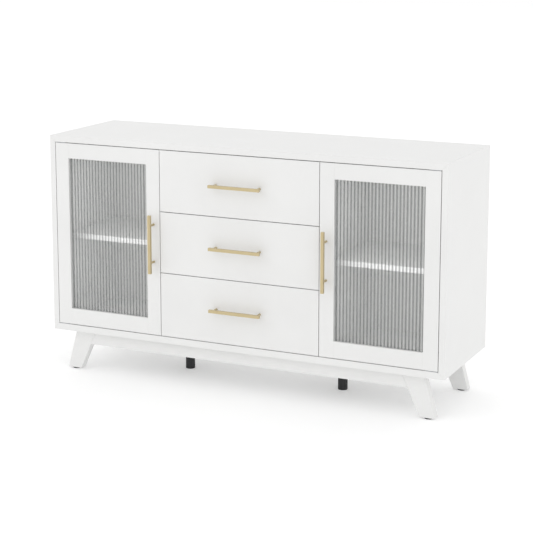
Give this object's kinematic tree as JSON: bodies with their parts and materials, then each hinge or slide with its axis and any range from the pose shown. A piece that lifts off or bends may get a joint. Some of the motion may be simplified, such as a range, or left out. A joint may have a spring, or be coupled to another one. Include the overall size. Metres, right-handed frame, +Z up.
{
  "type": "sideboard",
  "caption": "White sideboard with reeded-glass doors at the sides, drawers in the middle, brass bar handles and splayed legs.",
  "frame": {"origin": "on the floor, under the middle of the box that holds the case and its handles", "axes": "+Z up, +X to the right along the front, front towards -Y"},
  "size_m": [1.44, 0.459, 0.832],
  "materials": {
    "white_lacquer": "satin",
    "white_board": "matte",
    "fluted_glass": "gloss",
    "satin_brass": "satin",
    "zinc_steel": "satin",
    "grey_plastic": "matte",
    "black_plastic": "matte"
  },
  "bodies": {
    "case": {"top_panel": "white_lacquer", "bottom_panel": "white_lacquer", "left_side_panel": "white_lacquer", "right_side_panel": "white_lacquer", "left_divider": "white_lacquer", "right_divider": "white_lacquer", "back_panel": "white_board", "left_shelf": "white_lacquer", "right_shelf": "white_lacquer", "shelf_pins": "zinc_steel", "front_apron": "white_lacquer", "back_apron": "white_lacquer", "base_cross_rails": "white_lacquer", "front_left_leg": "white_lacquer", "front_right_leg": "white_lacquer", "back_left_leg": "white_lacquer", "back_right_leg": "white_lacquer", "leg_glides": "black_plastic", "centre_feet": "black_plastic", "cabinet_runners": "zinc_steel", "hinge_plates": "zinc_steel", "catches": "grey_plastic"},
    "left_door": {"left_door_stiles": "white_lacquer", "left_door_rails": "white_lacquer", "left_door_glass": "fluted_glass", "left_door_glass_beads": "white_lacquer", "left_door_handle": "satin_brass", "left_door_handle_screws": "zinc_steel", "left_door_hinge_bushes": "grey_plastic", "left_door_catch_plate": "zinc_steel"},
    "right_door": {"right_door_stiles": "white_lacquer", "right_door_rails": "white_lacquer", "right_door_glass": "fluted_glass", "right_door_glass_beads": "white_lacquer", "right_door_handle": "satin_brass", "right_door_handle_screws": "zinc_steel", "right_door_hinge_bushes": "grey_plastic", "right_door_catch_plate": "zinc_steel"},
    "bottom_drawer": {"bottom_drawer_front": "white_lacquer", "bottom_drawer_sides": "white_board", "bottom_drawer_back": "white_board", "bottom_drawer_bottom": "white_board", "bottom_drawer_handle": "satin_brass", "bottom_drawer_handle_screws": "zinc_steel", "bottom_drawer_runners": "zinc_steel"},
    "middle_drawer": {"middle_drawer_front": "white_lacquer", "middle_drawer_sides": "white_board", "middle_drawer_back": "white_board", "middle_drawer_bottom": "white_board", "middle_drawer_handle": "satin_brass", "middle_drawer_handle_screws": "zinc_steel", "middle_drawer_runners": "zinc_steel"},
    "top_drawer": {"top_drawer_front": "white_lacquer", "top_drawer_sides": "white_board", "top_drawer_back": "white_board", "top_drawer_bottom": "white_board", "top_drawer_handle": "satin_brass", "top_drawer_handle_screws": "zinc_steel", "top_drawer_runners": "zinc_steel"}
  },
  "joints": [
    {"name": "left_door_hinge", "type": "hinge", "parent": "case", "child": "left_door", "pos_m": [-0.6875, -0.188, 0.48], "axis": [0, 0, -1], "range_deg": [0, 105]},
    {"name": "right_door_hinge", "type": "hinge", "parent": "case", "child": "right_door", "pos_m": [0.6875, -0.188, 0.48], "axis": [0, 0, 1], "range_deg": [0, 105]},
    {"name": "bottom_drawer_slide", "type": "slide", "parent": "case", "child": "bottom_drawer", "axis": [0, -1, 0], "range_m": [0, 0.27]},
    {"name": "middle_drawer_slide", "type": "slide", "parent": "case", "child": "middle_drawer", "axis": [0, -1, 0], "range_m": [0, 0.27]},
    {"name": "top_drawer_slide", "type": "slide", "parent": "case", "child": "top_drawer", "axis": [0, -1, 0], "range_m": [0, 0.27]}
  ]
}
